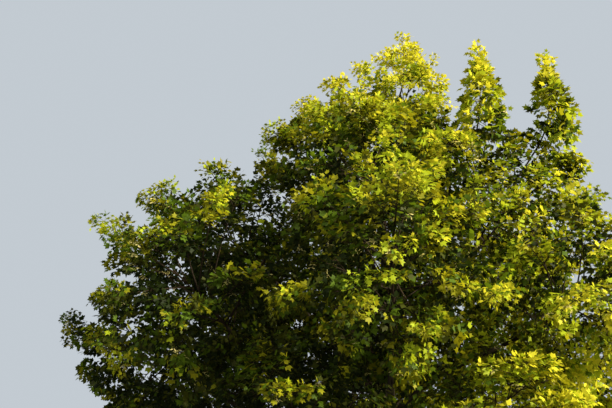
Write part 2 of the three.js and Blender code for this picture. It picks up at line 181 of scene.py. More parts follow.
def pair_rule(pairs, first, last, length, shortens, wander, angle, rises, grows, radius, margin):
    return SimpleNamespace(**locals())


# What grows sideways in opposite pairs: how many pairs and from where to where along what bears
# them, their length and how much shorter they get towards its end, how far a pair on a level
# stem stands from level, their angle to it and how much they rise, the chance that one has
# grown out, their radius, and the room that they leave for their leaves
SIDE_TWIG = pair_rule(3, 0.4, 0.86, (0.36, 0.62), 0.4, 0.16, 0.86, 0.04, 0.88, 0.0055, 0.1)
SHOOT = pair_rule(5, 0.44, 0.97, (0.13, 0.27), 0.35, 0.3, 0.9, 0.1, 0.86, 0.0034, 0.06)
SIDE_SHOOT = pair_rule(4, 0.3, 0.95, (0.11, 0.22), 0.3, 0.3, 0.85, 0.08, 0.88, 0.0034, 0.06)
PAIR_SCATTER = 0.04  # how far a pair stands from its even place, as a share of the stem
FITTED = (0.35, 0.55, 0.75, 1.0)  # shares of its length that one keeps where space is tight
STEM_ENDS = 0.8  # from here on a stem's own end counts as a shoot
LEAF = SimpleNamespace(
    spacing=0.036,  # between the pairs on a shoot
    end_gap=0.35,  # from the last pair to the leaf at the shoot's end, in such spacings
    most_pairs=6,
    length=(0.043, 0.07),
    deep=(0.0, 1.1),  # from the crown's surface to where the next two have reached their ends
    keeps=(0.92, 0.62),  # the chance that a leaf is there
    grows=(1.0, 1.55),  # larger than life inside, where few can stand for many
    stalk=(0.025, 0.06),
    stalk_width=0.0035,
    stalk_way=(0.55, 0.85, 0.12),  # how much it runs along the shoot, sideways and up
    blade_way=(0.8, 0.3),  # how much a blade follows its stalk, and how much it runs outwards
    nod=(0.0, 0.75),
    faces=(0.8, 0.6),  # how much a blade faces up, and how much outwards
    faces_upright=(0.3, 1.0),  # on the slender upright masses
    unevenness=0.48,
    curl=(0.3, 1.3),
    clear=0.04,  # between a leaf and any limb
)
LEAF_SIZES = {"spire": 1.38, "top": 1.15}  # times the size elsewhere
# The upright masses are slim, and the spires taper as well. Heights are shares of the half
# height, from the middle
SLIM = SimpleNamespace(
    lowest=-0.5,  # the height of the lowest twigs
    stem_end=0.7,
    feet=(0.15, 0.85),  # from where to where along the stem its twigs leave it
    side_pairs=1,  # of side twigs on a twig
    side_shoot_pairs=2,  # of shoots on a side twig
    # On the spires alone
    heights=(-0.3, 0.0, 0.4, 0.9),  # where the widths that SPIRES gives are reached
    highest=0.9,
    uneven=(0.4, 1.0),  # how much of that width a twig reaches
    more=1.7,  # times as many twigs as elsewhere
    shoot_pairs=3,
    shoot_size=0.62,  # times the length elsewhere
    narrows=((0.1, 0.85), (1.0, 0.45)),  # between these heights, side growth gets shorter
)
SPIRE_OVERLAP = 0.45  # how far a spire's lowest twigs run down among its neighbours' leaves
WIDE_ENOUGH = 1.3  # a mass of this half width and more has side twigs of the full length
NARROW_PAIRS = 2  # of side twigs on a twig of a narrower mass
DEEPEST = 2.5  # how deep in the crown still counts for a leaf's size, chance and colour
BRIGHT_AND_FULL = 0.4  # how much more a bright leaf gets the full outline
KEYS = SimpleNamespace(
    chance=0.03,  # of a shoot to carry a bunch
    at=0.6,  # of the way along the shoot
    room=0.2,  # below a bunch, within its mass's space
    pairs=5,
    wing=0.052,
    width=0.019,
    hang=0.075,
    uneven=(0.6, 1.3),  # times that length, for each pair
    spread=0.05,
    flatness=0.4,  # of that spread, up and down
    tumble=0.6,  # how unevenly the wings face, against how much they face up
    faces_up=0.5,
    droop=0.35,  # of a wing, for its own length outwards
    widest=(0.45, 0.6),  # where along a wing its upper and lower corners are
    thread=0.0015,  # half a thread's width
)

CROWN_STEPS = np.linspace(0.6, 1.5, 37)  # shares of a lone mass's reach tried for the crown's
NEARLY_UPRIGHT = 0.1  # a direction whose level part is shorter than this counts as upright
LEAST_CLOSING = 1e-6  # a direction that nears a plane by less than this never meets it
FAR_OFF = 1e3  # the reach where no plane is in the way
NEAR = 0.5  # only limbs this near to a leaf are looked at for being in its way
LIMB_POINTS = SimpleNamespace(trunk=240, bough=60)  # looked at down the middle of each
GOLDEN_ANGLE = math.pi * (3 - math.sqrt(5))
UP = np.array([0.0, 0.0, 1.0])


# Chance and directions


def chance(seed):
    """The construction model's small seeded generator, so that the same tree grows here."""
    state = seed * 2654435761 & 0xFFFFFFFF

    def draw(low, high):
        nonlocal state
        state = state * 1664525 + 1013904223 & 0xFFFFFFFF
        return low + (high - low) * state / 4294967296

    draw(0, 1)
    return draw


def unit(v):
    """Vectors in the same directions, of length 1."""
    return v / np.maximum(np.linalg.norm(v, axis=-1, keepdims=True), 1e-9)


def dot(a, b):
    return (a * b).sum(-1)


def crosswise(ahead):
    """Two directions square to each of the given ones, the first of them level."""
    side = np.cross(ahead, UP)
    steep = np.linalg.norm(side, axis=-1, keepdims=True) < NEARLY_UPRIGHT
    side = unit(np.where(steep, np.array([1.0, 0.0, 0.0]), side))
    side = unit(side - ahead * dot(side, ahead)[..., None])
    return side, np.cross(ahead, side)


# Lines


def trunk_at(t):
    """Points on the trunk's middle line, at the shares t of its height."""
    z = np.asarray(t, float) * TRUNK.top
    bend = np.maximum(0, (z - TRUNK.swing_from) / (TRUNK.top - TRUNK.swing_from))
    x = TRUNK.lean * z + TRUNK.swing * bend**2
    return np.stack([x, np.zeros_like(z), z], -1)


def trunk_heading(t):
    step = 0.002
    ways = unit(trunk_at(np.minimum(1, t + step)) - trunk_at(np.maximum(0, t - step)))
    return np.where(np.asarray(t)[..., None] <= 0, UP, ways)


def bent(foot, knee, tip):
    """Lines that leave their feet towards their knees and come to their tips bending."""
    return SimpleNamespace(foot=foot, knee=knee, tip=tip)


def along(line, t):
    """Points at the shares t of the way, with t's axes after the lines' own."""
    foot, knee, tip = (end[..., None, :] for end in (line.foot, line.knee, line.tip))
    t = np.asarray(t, float)[..., None]
    return (1 - t) ** 2 * foot + 2 * (1 - t) * t * knee + t**2 * tip


def heading(line, t):
    foot, knee, tip = (end[..., None, :] for end in (line.foot, line.knee, line.tip))
    t = np.asarray(t, float)[..., None]
    return unit((1 - t) * (knee - foot) + t * (tip - knee))


def length_of(line):
    points = along(line, np.linspace(0, 1, 201))
    return np.linalg.norm(np.diff(points, axis=-2), axis=-1).sum(-1)


# Spaces: each mass keeps to its own


def ball_reach(ball, start, ways):
    """How far it is from a point, along each way, to the far side of a ball; 0 if it misses."""
    scale = 1 / np.array([ball.wide, ball.wide, ball.tall])
    p = (start - ball.middle) * scale
    d = ways * scale
    a, b = dot(d, d), dot(d, p)
    inside = b * b - a * (dot(p, p) - 1)
    return np.where(inside > 0, np.maximum(0, (np.sqrt(np.maximum(inside, 0)) - b) / a), 0)


def plane_reach(mass, ways):
    """How far it is from the middle of a mass to the first of the planes round it."""
    closing = ways @ mass.plane_ways.T
    reaches = mass.plane_reaches / np.maximum(closing, LEAST_CLOSING)
    return np.where(closing > LEAST_CLOSING, reaches, FAR_OFF).min(-1)


def room(mass, ball, way):
    """How far a ball reaches along a way before a plane shuts it in."""
    return np.minimum(ball_reach(ball, mass.middle, way), plane_reach(mass, way))


def apartness(ball, points):
    """How far each point is from the middle of a ball, where the ball's own surface is at 1."""
    p = (points - ball.middle) / np.array([ball.wide, ball.wide, ball.tall])
    return np.sqrt(dot(p, p))


def fullness(masses, points):
    """1 on the surface of a lone mass and more further in. Masses that stand close add up, so
    that the creases between them fill."""
    return sum(np.exp(BLEND * (1 - apartness(mass.body, points))) for mass in masses)


def filling(masses, mass):
    """The masses that fill the crown round a mass; a spire stands out alone."""
    return [mass] if mass.tier is SPIRE_TIER else masses


def crown_reach(masses, mass, ways, ball):
    """How far the crown reaches from the middle of a mass, along each way."""
    points = mass.middle + ways[:, None] * (ball[:, None] * CROWN_STEPS)[..., None]
    inside = fullness(filling(masses, mass), points) >= 1
    last_in = np.where(inside.all(-1), len(CROWN_STEPS) - 1, np.argmin(inside, -1) - 1)
    return ball * CROWN_STEPS[np.maximum(last_in, 0)]


def holds(masses, mass, points):
    """Whether each point lies in a mass's space."""
    held = fullness(filling(masses, mass), points) > 1
    held |= apartness(mass.lead, points) < 1
    return held & ((points - mass.middle) @ mass.plane_ways.T < mass.plane_reaches).all(-1)


def make_space(form, index, middle, out, rise, seed):
    """One mass's space: its body, and the tuft at the end of its leading twig."""
    upright = form.name in UPRIGHT
    lead_way = UP if upright else unit(np.array([out[0], out[1], rise]))
    body = SimpleNamespace(middle=middle, wide=form.wide, tall=form.tall)
    beyond = LEAD.upright_beyond if upright else LEAD.beyond
    reach = ball_reach(body, middle, lead_way) + beyond - LEAD.radius / 2
    lead = SimpleNamespace(middle=middle + lead_way * reach, wide=LEAD.radius, tall=LEAD.radius)
    return SimpleNamespace(
        name=f"{form.name}_{index + 1}",
        tier=form,
        index=index,
        middle=middle,
        lead_way=lead_way,
        seed=seed,
        body=body,
        lead=lead,
        bough=None,
    )


def make_spaces():
    """All the masses, tier by tier, with the planes that part each from its neighbours."""
    masses = []
    for row, form in enumerate(TIERS):
        draw = chance(SEEDS["tiers"] + row)
        for i in range(form.count):
            bearing = math.radians(form.bearing + 360 * i / form.count)
            out = np.array([math.cos(bearing), math.sin(bearing), 0.0])
            middle = out * form.out + [form.shift, 0, form.height + form.tilt * out[0]]
            seed = SEEDS["masses"] + row * SEEDS["per_tier"] + i
            masses.append(make_space(form, i, middle, out, draw(*LEAD_RISE), seed))
    for i, spire in enumerate(SPIRES):
        masses.append(make_space(SPIRE_TIER, i, np.array(spire.middle), UP, 0, SEEDS["spires"] + i))
    for mass in masses:
        others = [other for other in masses if other is not mass]
        ways = np.array([other.middle - mass.middle for other in others])
        apart = np.linalg.norm(ways, axis=-1)
        holds_of_others = np.array([other.tier.hold for other in others])
        mass.plane_ways = ways / apart[:, None]
        mass.plane_reaches = (apart**2 + mass.tier.hold**2 - holds_of_others**2) / (2 * apart)
        mass.plane_reaches += SPIRE_OVERLAP if mass.tier is SPIRE_TIER else -CELL_MARGIN
    return masses


# Limbs


def trunk_radius(t, angle):
    z = t * TRUNK.top
    stem = TRUNK.tip_radius + (TRUNK.foot_radius - TRUNK.tip_radius) * (1 - t) ** TRUNK.taper
    lobes = 1 + TRUNK.buttress_share * np.cos(TRUNK.buttresses * angle + TRUNK.buttress_turn)
    return stem + TRUNK.flare * np.exp(-z / TRUNK.flare_height) * lobes


def bough_radius(bough, t):
    even = bough.radius + (bough.tip - bough.radius) * t**BOUGH_TAPER
    return even + COLLAR.swell * bough.radius * np.exp(-t * bough.length / COLLAR.reach)


def fork_of(mass, boughs):
    """The bough that a mass's own bough leaves, and how far along; None if it leaves the trunk."""
    if mass.tier is SPIRE_TIER:
        parent = next(bough for bough in boughs if bough.name == f"bough_{SPIRE_PARENT}")
        return parent, SPIRES[mass.index].leaves
    if BOUGHS[mass.tier.name].forked and mass.index % 2 == 1:
        return boughs[-1], FORK.at
    return None


def make_boughs(masses):
    boughs = []
    for mass in masses:
        rule = BOUGHS.get(mass.tier.name)
        if rule is None:
            continue
        fork = fork_of(mass, boughs)
        if fork:
            parent, at = fork
            foot = along(parent.line, at)[0]
            radius = min(rule.radius * FORK.radius_share, bough_radius(parent, at) * FORK.most)
        else:
            foot = trunk_at((rule.foot + rule.step * mass.index) / TRUNK.top)
            radius = rule.radius
        inward = unit(foot - mass.middle)
        tip = mass.middle + inward * BOUGH_END * ball_reach(mass.body, mass.middle, inward)
        chord = np.linalg.norm(tip - foot)
        if fork:
            follow = getattr(rule, "follow", FORK.follow)
            knee = foot + heading(parent.line, at)[0] * follow * chord
        else:
            knee = (foot + tip) / 2 + UP * rule.arch * chord
        line = bent(foot, knee, tip)
        mass.bough = SimpleNamespace(
            name=f"bough_{mass.name}",
            line=line,
            radius=radius,
            tip=rule.tip,
            length=length_of(line),
        )
        boughs.append(mass.bough)
    return boughs


def make_stem(mass):
    """The stem of a mass, from its bough's tip or the trunk out past the mass's middle."""
    form = mass.tier.name
    end_share = SLIM.stem_end if form in UPRIGHT else STEM.end
    end = mass.middle + mass.lead_way * end_share * room(mass, mass.body, mass.lead_way)
    if form in STEM_DROP:
        foot = trunk_at((mass.middle[2] - STEM_DROP[form]) / TRUNK.top)
        way = unit(mass.middle - foot + UP * STEM.climb)
        radius = STEM_RADIUS[form]
    elif mass.bough:
        foot = mass.bough.line.tip
        way = heading(mass.bough.line, 1.0)[0]
        radius = mass.bough.tip
    else:
        foot = trunk_at(1.0)
        way = trunk_heading(1.0)
        radius = TRUNK.tip_radius
    knee = foot + way * STEM.follow * np.linalg.norm(end - foot)
    return SimpleNamespace(line=bent(foot, knee, end), radius=radius)


def limb_points(boughs):
    """Points down the middle of every limb, with the limb's radius there."""
    t = np.linspace(0, 1, LIMB_POINTS.trunk)
    points, radii = [trunk_at(t)], [trunk_radius(t, 0.0)]
    t = np.linspace(0, 1, LIMB_POINTS.bough)
    for bough in boughs:
        points.append(along(bough.line, t))
        radii.append(bough_radius(bough, t))
    return np.concatenate(points), np.concatenate(radii)


# Growth


def grow_twigs(masses, mass, luck):
    """Twigs leave the stem towards directions in a golden-angle spiral, after the leading one.
    They end on the crown's surface or short of it, and on a spire within its own taper."""
    form = mass.tier
    upright = form.name in UPRIGHT
    spire = SPIRES[mass.index] if form is SPIRE_TIER else None
    size = form.wide * form.tall / TWIG.full_size
    places = round(TWIG.places * size**TWIG.crowding * (SLIM.more if spire else 1.0))
    number = np.arange(places)
    lowest = SLIM.lowest if upright else -1.0
    height = 1 - (1 - lowest) * (number + 0.5) / places
    flat = np.sqrt(1 - height**2)
    turn = number * GOLDEN_ANGLE + mass.seed
    x, y = flat * np.cos(turn), flat * np.sin(turn)
    ways = np.stack([x, y, height], -1)
    if upright:
        ways = unit(ways * [form.wide, form.wide, form.tall])
    ball = ball_reach(mass.body, mass.middle, ways)
    shut_reach = plane_reach(mass, ways)
    grown = luck.random(places) < np.interp(shut_reach / ball, TWIG.hemmed_in, TWIG.grows)
    shortest, longest = SLIM.uneven if spire else TWIG.reach
    share = shortest + (longest - shortest) * luck.random(places) ** TWIG.stand_out
    if spire:
        wide = share * np.interp(height, SLIM.heights, spire.widths) * form.wide
        offsets = np.stack([x * wide, y * wide, height * SLIM.highest * form.tall], -1)
        ways = unit(offsets)
        open_reach = np.linalg.norm(offsets, axis=-1)
    else:
        open_reach = crown_reach(masses, mass, ways, ball) * share
    reach = np.minimum(open_reach, shut_reach * TWIG.shut_reach)
    lead_tip = mass.middle + mass.lead_way * room(mass, mass.lead, mass.lead_way)
    tips = np.concatenate([lead_tip[None], (mass.middle + ways * reach[:, None])[grown]])
    if upright:
        t = np.interp(height, [-1, 1], SLIM.feet)[grown]
    else:
        t = np.interp(ways @ mass.lead_way, [-1, 1], TWIG.feet)[grown]
    feet = along(mass.stem.line, np.append(1.0, t))
    span = np.linalg.norm(tips - feet, axis=-1, keepdims=True)
    knees = (feet + tips) / 2 + (mass.lead_way * TWIG.follow - UP * TWIG.sag) * span
    twigs = bent(feet, knees, tips)
    twigs.span = span[:, 0]
    twigs.owner = np.arange(len(tips))
    return twigs


def side_growth(masses, mass, stems, rule, luck, size):
    """Lines that stand in opposite pairs along each stem and are shortened where the space is
    tight. On a level stem they spread level, as a flat spray, and on a steep one each pair is
    square to the last. Each stem has a size of its own, a share of the rule's length."""
    count = len(stems.span)
    shares = np.linspace(rule.first, rule.last, rule.pairs)
    t = shares + luck.uniform(-PAIR_SCATTER, PAIR_SCATTER, (count, rule.pairs))
    foot = along(stems, t)
    ahead = heading(stems, t)
    side, other = crosswise(ahead)
    steep = np.abs(ahead[..., 2]) ** 2
    turn = luck.normal(0, rule.wander, t.shape) + np.arange(rule.pairs) * steep * math.pi / 2
    turn = turn[..., None]
    feet, ways, lengths = [], [], []
    for sign in (1, -1):
        radial = sign * (np.cos(turn) * side + np.sin(turn) * other)
        way = ahead * math.cos(rule.angle) + radial * math.sin(rule.angle) + UP * rule.rises
        feet.append(foot.reshape(-1, 3))
        ways.append(unit(way).reshape(-1, 3))
        length = luck.uniform(*rule.length, t.shape) * (1 - rule.shortens * t) * size
        lengths.append(length.ravel())
    feet, ways, lengths = (np.concatenate(part) for part in (feet, ways, lengths))
    owner = np.tile(np.repeat(np.arange(count), rule.pairs), 2)
    fitted = np.zeros(len(feet))
    for share in FITTED:
        reach = (lengths * share + rule.margin)[:, None]
        fits = holds(masses, mass, feet + ways * reach)
        fitted = np.where(fits, share, fitted)
    grown = (fitted > 0) & (luck.random(len(feet)) < rule.grows)
    feet, ways, lengths = feet[grown], ways[grown], (lengths * fitted)[grown]
    tips = feet + ways * lengths[:, None]
    sides = bent(feet, (feet + tips) / 2, tips)
    sides.owner = owner[grown]
    sides.span = lengths
    return sides


def with_pairs(rule, pairs):
    """The same rule with another number of pairs."""
    return SimpleNamespace(**{**vars(rule), "pairs": pairs})


def end_shoots(stems):
    """Each stem's own end counts as a shoot too."""
    own = along(stems, np.full((len(stems.span), 1), STEM_ENDS))[:, 0]
    ends = bent(own, (own + stems.tip) / 2, stems.tip)
    ends.owner = np.arange(len(own))
    ends.span = np.linalg.norm(ends.tip - ends.foot, axis=-1)
    return ends


def merged(groups):
    """Several groups of like things as one."""
    kinds = {name: [getattr(group, name) for group in groups] for name in vars(groups[0])}
    return SimpleNamespace(**{name: np.concatenate(values) for name, values in kinds.items()})


def taken(things, kept):
    """Only those of a group of like things that are kept."""
    return SimpleNamespace(**{name: values[kept] for name, values in vars(things).items()})


def grow_leaves(masses, mass, shoots, luck, limbs):
    """Leaves stand in opposite pairs along each shoot, with one at its end. Each blade nods from
    its stalk and faces up and outwards."""
    count = len(shoots.span)
    pairs = np.clip(np.round(shoots.span / LEAF.spacing), 1, LEAF.most_pairs)[:, None]
    number = np.arange(LEAF.most_pairs + 1)
    t = np.minimum((number + 1) / (pairs + LEAF.end_gap), 1.0)
    points = along(shoots, t)
    ahead = heading(shoots, t)
    side, other = crosswise(ahead)
    turn = luck.uniform(0, math.pi, (count, 1)) + number * math.pi / 2
    turn = turn[..., None]
    keeps = np.interp(shoots.deep, LEAF.deep, LEAF.keeps)[:, None]
    onward, sideways, upward = LEAF.stalk_way
    kinds = []
    for sign in (1, -1):
        radial = sign * (np.cos(turn) * side + np.sin(turn) * other)
        stalk = unit(ahead * onward + radial * sideways + UP * upward)
        there = number < pairs
        if sign > 0:
            stalk = np.where((number == pairs)[..., None], ahead, stalk)
            there = number <= pairs
        kept = there & (luck.random(t.shape) < keeps)
        kinds.append((points[kept], stalk[kept], np.nonzero(kept)[0]))
    points, stalk, owner = (np.concatenate(part) for part in zip(*kinds))
    total = len(points)
    size = np.interp(shoots.deep, LEAF.deep, LEAF.grows)[owner][:, None]
    size *= LEAF_SIZES.get(mass.tier.name, 1.0)
    length = luck.uniform(*LEAF.length, (total, 1)) * size
    base = points + stalk * luck.uniform(*LEAF.stalk, (total, 1)) * size
    outward = unit(points - mass.middle)
    onward, away = LEAF.blade_way
    nod = luck.uniform(*LEAF.nod, (total, 1))
    blade = unit(stalk * onward + outward * away - UP * nod)
    up, out = LEAF.faces_upright if mass.tier.name in UPRIGHT else LEAF.faces
    lift = UP * up + outward * out + luck.normal(0, LEAF.unevenness, (total, 3))
    across = unit(np.cross(blade, lift))
    leaves = SimpleNamespace(
        stalk_foot=points,
        base=base,
        blade=blade,
        across=across,
        face=np.cross(across, blade),
        length=length,
        curl=luck.uniform(*LEAF.curl, (total, 1)),
        owner=owner,
    )
    kept = holds(masses, mass, base + blade * length)
    kept &= clear_of(limbs, base + blade * length / 2)
    return taken(leaves, kept)


def clear_of(limbs, points):
    """Whether each point is clear of every limb."""
    spots, radii = limbs
    low, high = points.min(0) - NEAR, points.max(0) + NEAR
    near = ((spots > low) & (spots < high)).all(-1)
    if not near.any():
        return np.ones(len(points), bool)
    apart = np.linalg.norm(points[:, None] - spots[near], axis=-1)
    return (apart > radii[near] + LEAF.clear).all(-1)


# Meshes from arrays


def mesh_from(name, points, faces, uv=None):
    """A mesh object of triangles, with an optional map given for each vertex."""
    mesh = bpy.data.meshes.new(name)
    mesh.vertices.add(len(points))
    mesh.vertices.foreach_set("co", points.astype(np.float32).ravel())
    mesh.loops.add(faces.size)
    mesh.loops.foreach_set("vertex_index", faces.astype(np.int32).ravel())
    mesh.polygons.add(len(faces))
    mesh.polygons.foreach_set("loop_start", np.arange(0, faces.size, 3, dtype=np.int32))
    mesh.polygons.foreach_set("use_smooth", np.ones(len(faces), bool))
    if uv is not None:
        layer = mesh.uv_layers.new(name="blade")
        layer.uv.foreach_set("vector", uv[faces.ravel()].astype(np.float32).ravel())
    mesh.update(calc_edges=True)
    piece = bpy.data.objects.new(name, mesh)
    bpy.context.scene.collection.objects.link(piece)
    return piece


def tubes(line, radii, sides):
    """Points and faces of closed tapering tubes along many lines; the last ring is a point."""
    rings = radii.shape[-1]
    t = np.linspace(0, 1, rings)
    middles = along(line, np.broadcast_to(t, radii.shape))
    ahead = unit(line.tip - line.foot)
    side, other = crosswise(ahead)
    angle = np.arange(sides) * 2 * math.pi / sides
    spokes = np.cos(angle)[:, None] * side[:, None] + np.sin(angle)[:, None] * other[:, None]
    body = middles[:, :-1, None] + radii[:, :-1, None, None] * spokes[:, None]
    count = len(ahead)
    points = np.concatenate([body.reshape(count, -1, 3), middles[:, -1:]], 1)
    faces = []
    for ring in range(rings - 2):
        for i in range(sides):
            a, b = ring * sides + i, ring * sides + (i + 1) % sides
            faces += [(a, b, b + sides), (a, b + sides, a + sides)]
    last = (rings - 2) * sides
    for i in range(sides):
        faces.append((last + i, last + (i + 1) % sides, last + sides))
    for i in range(1, sides - 1):
        faces.append((0, i + 1, i))
    return joined(points, np.array(faces))


def stem_wood(stem):
    line = bent(stem.line.foot[None], stem.line.knee[None], stem.line.tip[None])
    radii = stem.radius * (1 - STEM.taper * np.linspace(0, 1, STEM.rings))
    return tubes(line, radii[None], STEM.sides)


def tapering(lines, radii, rings):
    """Three-sided twigs that taper to fine tips."""
    narrowing = np.linspace(0, 1, rings) ** TWIG.taper
    radii = radii[:, None] + (TWIG.tip_radius - radii[:, None]) * narrowing
    return tubes(lines, radii, TWIG.sides)


def twigs_wood(twigs):
    full_span, least, most = TWIG.thickens
    radii = TWIG.radius * np.clip(twigs.span / full_span, least, most)
    return tapering(twigs, radii, TWIG.rings)


def side_twigs_wood(sides, rule):
    return tapering(sides, np.full(len(sides.span), rule.radius), TWIG.side_rings)


def shoots_wood(shoots, rule):
    return tubes(shoots, np.full((len(shoots.span), 2), rule.radius), TWIG.sides)


def joined(points, faces):
    """Many small things with the same faces, as one list of points and one of faces."""
    count, each = points.shape[:2]
    offsets = np.arange(count)[:, None, None] * each
    return points.reshape(-1, 3), (faces + offsets).reshape(-1, faces.shape[-1])


# The outline of a leaf, across and along it as shares of its length, from its stalk round to the
# left: five pointed lobes with a notch between each two
LEAF_POINTS = np.array(
    [
        (0.0, 0.0),
        (-0.42, 0.06),
        (-0.27, 0.29),
        (-0.53, 0.6),
        (-0.2, 0.57),
        (0.0, 1.0),
        (0.2, 0.57),
        (0.53, 0.6),
        (0.27, 0.29),
        (0.42, 0.06),
    ]
)
# The last face is the stalk, whose foot is two more points, 10 and 11
FULL_FACES = np.array(
    [
        (0, 2, 1),
        (2, 4, 3),
        (4, 6, 5),
        (6, 8, 7),
        (8, 0, 9),
        (0, 8, 2),
        (2, 8, 6),
        (2, 6, 4),
        (10, 11, 0),
    ]
)
# A leaf a little way in has no notches beside its lowest lobes, and one deep in the crown has
# three lobes
HALF_POINTS = LEAF_POINTS[[0, 1, 3, 4, 5, 6, 7, 9]]
HALF_FACES = np.array([(0, 2, 1), (0, 3, 2), (0, 5, 3), (3, 5, 4), (0, 6, 5), (0, 7, 6)])
PLAIN_POINTS = np.array(
    [
        (0.0, 0.0),
        (-0.53, 0.4),
        (-0.31, 0.54),
        (0.0, 1.0),
        (0.31, 0.54),
        (0.53, 0.4),
    ]
)
PLAIN_FACES = np.array([(0, 2, 1), (0, 4, 2), (2, 4, 3), (0, 5, 4)])
# From the crown's surface inwards: the share of all leaves with each outline, its points and
# its faces
OUTLINES = [
    SimpleNamespace(share=0.16, stalk=True, points=LEAF_POINTS, faces=FULL_FACES),
    SimpleNamespace(share=0.27, stalk=False, points=HALF_POINTS, faces=HALF_FACES),
    SimpleNamespace(share=0.57, stalk=False, points=PLAIN_POINTS, faces=PLAIN_FACES),
]
BLADE_MIDDLE = 0.35  # of the way from the stalk to the tip
LOBE_DROOP = 0.3  # of how far a point stands out from that middle, squared
FOLD = 0.12  # the sides rise from the midrib by this share
STALK_MAP = (0.0, -0.3)  # where the stalk's foot lies on the blade's map


def leaf_meshes(leaves, form):
    """Points, faces and blade map of a group of leaves that share one outline."""
    a, b = form.points.T
    folded = FOLD * np.abs(a) * (1 - np.abs(a))
    droop = folded - LOBE_DROOP * (a**2 + (b - BLADE_MIDDLE) ** 2)
    sideways = a[:, None] * leaves.across[:, None]
    lengthwise = b[:, None] * leaves.blade[:, None]
    rise = droop[:, None] * leaves.curl[:, None] * leaves.face[:, None]
    blade = leaves.base[:, None] + leaves.length[:, None] * (sideways + lengthwise + rise)
    each = form.points
    if form.stalk:
        half = leaves.across * LEAF.stalk_width / 2
        stalk = np.stack([leaves.stalk_foot - half, leaves.stalk_foot + half], 1)
        blade = np.concatenate([blade, stalk], 1)
        each = np.concatenate([form.points, [STALK_MAP, STALK_MAP]])
    points, faces = joined(blade, form.faces)
    return points, faces, np.tile(each, (len(leaves.length), 1))


def key_bunches(feet, luck):
    """Bunches of winged keys: pairs of papery wings that hang on threads from one stalk."""
    count = len(feet)
    pairs = KEYS.pairs
    hang = KEYS.hang * luck.uniform(*KEYS.uneven, (count, pairs, 1))
    drift = luck.normal(0, KEYS.spread / 2, (count, pairs, 3)) * [1, 1, KEYS.flatness]
    seed = feet[:, None] + drift - UP * hang
    turn = luck.uniform(0, 2 * math.pi, (count, pairs))
    level = np.stack([np.cos(turn), np.sin(turn), np.zeros_like(turn)], -1)
    face = unit(luck.normal(0, KEYS.tumble, (count, pairs, 3)) + UP * KEYS.faces_up)
    half = unit(np.cross(level, face)) * KEYS.width / 2
    upper, lower = KEYS.widest
    corners = []
    for sign in (1, -1):
        out = unit(level * sign - UP * KEYS.droop) * KEYS.wing
        corners += [seed, seed + out * upper + half, seed + out, seed + out * lower - half]
    thread = np.cross(level, UP) * KEYS.thread
    corners += [feet[:, None] + thread, feet[:, None] - thread]
    points = np.stack(corners, 2).reshape(count * pairs, -1, 3)
    faces = [(0, 1, 2), (0, 2, 3), (4, 6, 5), (4, 7, 6), (8, 9, 0)]
    return joined(points, np.array(faces))


# Bark, modelled ridge by ridge

# Ridges on the trunk and the boughs: their width and length, how deep the furrows are between
# them, and the radius at which they have that depth
TRUNK_RIDGE = SimpleNamespace(across=0.025, along=0.22, depth=0.011, full_radius=0.16)
BOUGH_RIDGE = SimpleNamespace(across=0.032, along=0.24, depth=0.007, full_radius=0.06)
LEAST_DEPTH = 0.15  # of the furrows' full depth, where a limb is thinnest
TRUNK_BARK = SimpleNamespace(sides=168, rings=230)
BOUGH_BARK = SimpleNamespace(sides=18, least_rings=12, ring=0.085)
# The ridges wander from side to side, and a finer roughness lies over them
RIDGE_NET = SimpleNamespace(
    wander=0.8,
    wander_often=0.5,
    wander_shift=(7.3, 1.9, 4.1),
    steepness=2.2,
    level=0.6,
    roughness=0.25,
    rough_often=3.1,
)
UPRIGHT_LIMB = 0.99  # a limb whose heading rises by more than this share counts as upright


def limb_form(name, sides, rings, ease, place, ridge):
    """A capped cylinder cut into rings and carried onto a limb. Each point also keeps where it
    would stand if the limb were straight, which is what the bark's pattern follows."""
    form = bmesh.new()
    bmesh.ops.create_cone(form, cap_ends=True, segments=sides, radius1=1, radius2=1, depth=1)
    upright = [edge for edge in form.edges if abs(edge.verts[0].co.z - edge.verts[1].co.z) > 0.5]
    bmesh.ops.subdivide_edges(form, edges=upright, cuts=rings - 1, use_grid_fill=True)
    points = np.array([vert.co for vert in form.verts])
    t = ease(np.clip(points[:, 2] + 0.5, 0, 1))
    angle = np.arctan2(points[:, 1], points[:, 0])
    middle, ahead, radius, reach = place(t, angle)
    side = np.array([1.0, 0.0, 0.0])
    if abs(ahead[0, 2]) <= UPRIGHT_LIMB:
        side = crosswise(unit(middle[-1] - middle[0]))[0]
    side = unit(side - ahead * (ahead @ side)[:, None])
    other = np.cross(ahead, side)
    spoke = np.cos(angle)[:, None] * side + np.sin(angle)[:, None] * other
    straight = np.stack([np.cos(angle) * radius, np.sin(angle) * radius, t * reach], -1)
    rise = np.array([bark_rise(Vector(point), ridge) for point in straight])
    lift = rise * ridge.depth * np.clip(radius / ridge.full_radius, LEAST_DEPTH, 1)
    places = middle + spoke * (radius + lift)[:, None]
    kept_straight = form.verts.layers.float_vector.new("straight")
    kept_rise = form.verts.layers.float.new("ridge")
    for vert, co, unbent, high in zip(form.verts, places, straight, rise):
        vert.co = co
        vert[kept_straight] = unbent
        vert[kept_rise] = high
    for face in form.faces:
        face.smooth = len(face.verts) == 4
    bmesh.ops.recalc_face_normals(form, faces=form.faces)
    mesh = bpy.data.meshes.new(name)
    form.to_mesh(mesh)
    form.free()
    piece = bpy.data.objects.new(name, mesh)
    bpy.context.scene.collection.objects.link(piece)
    return piece


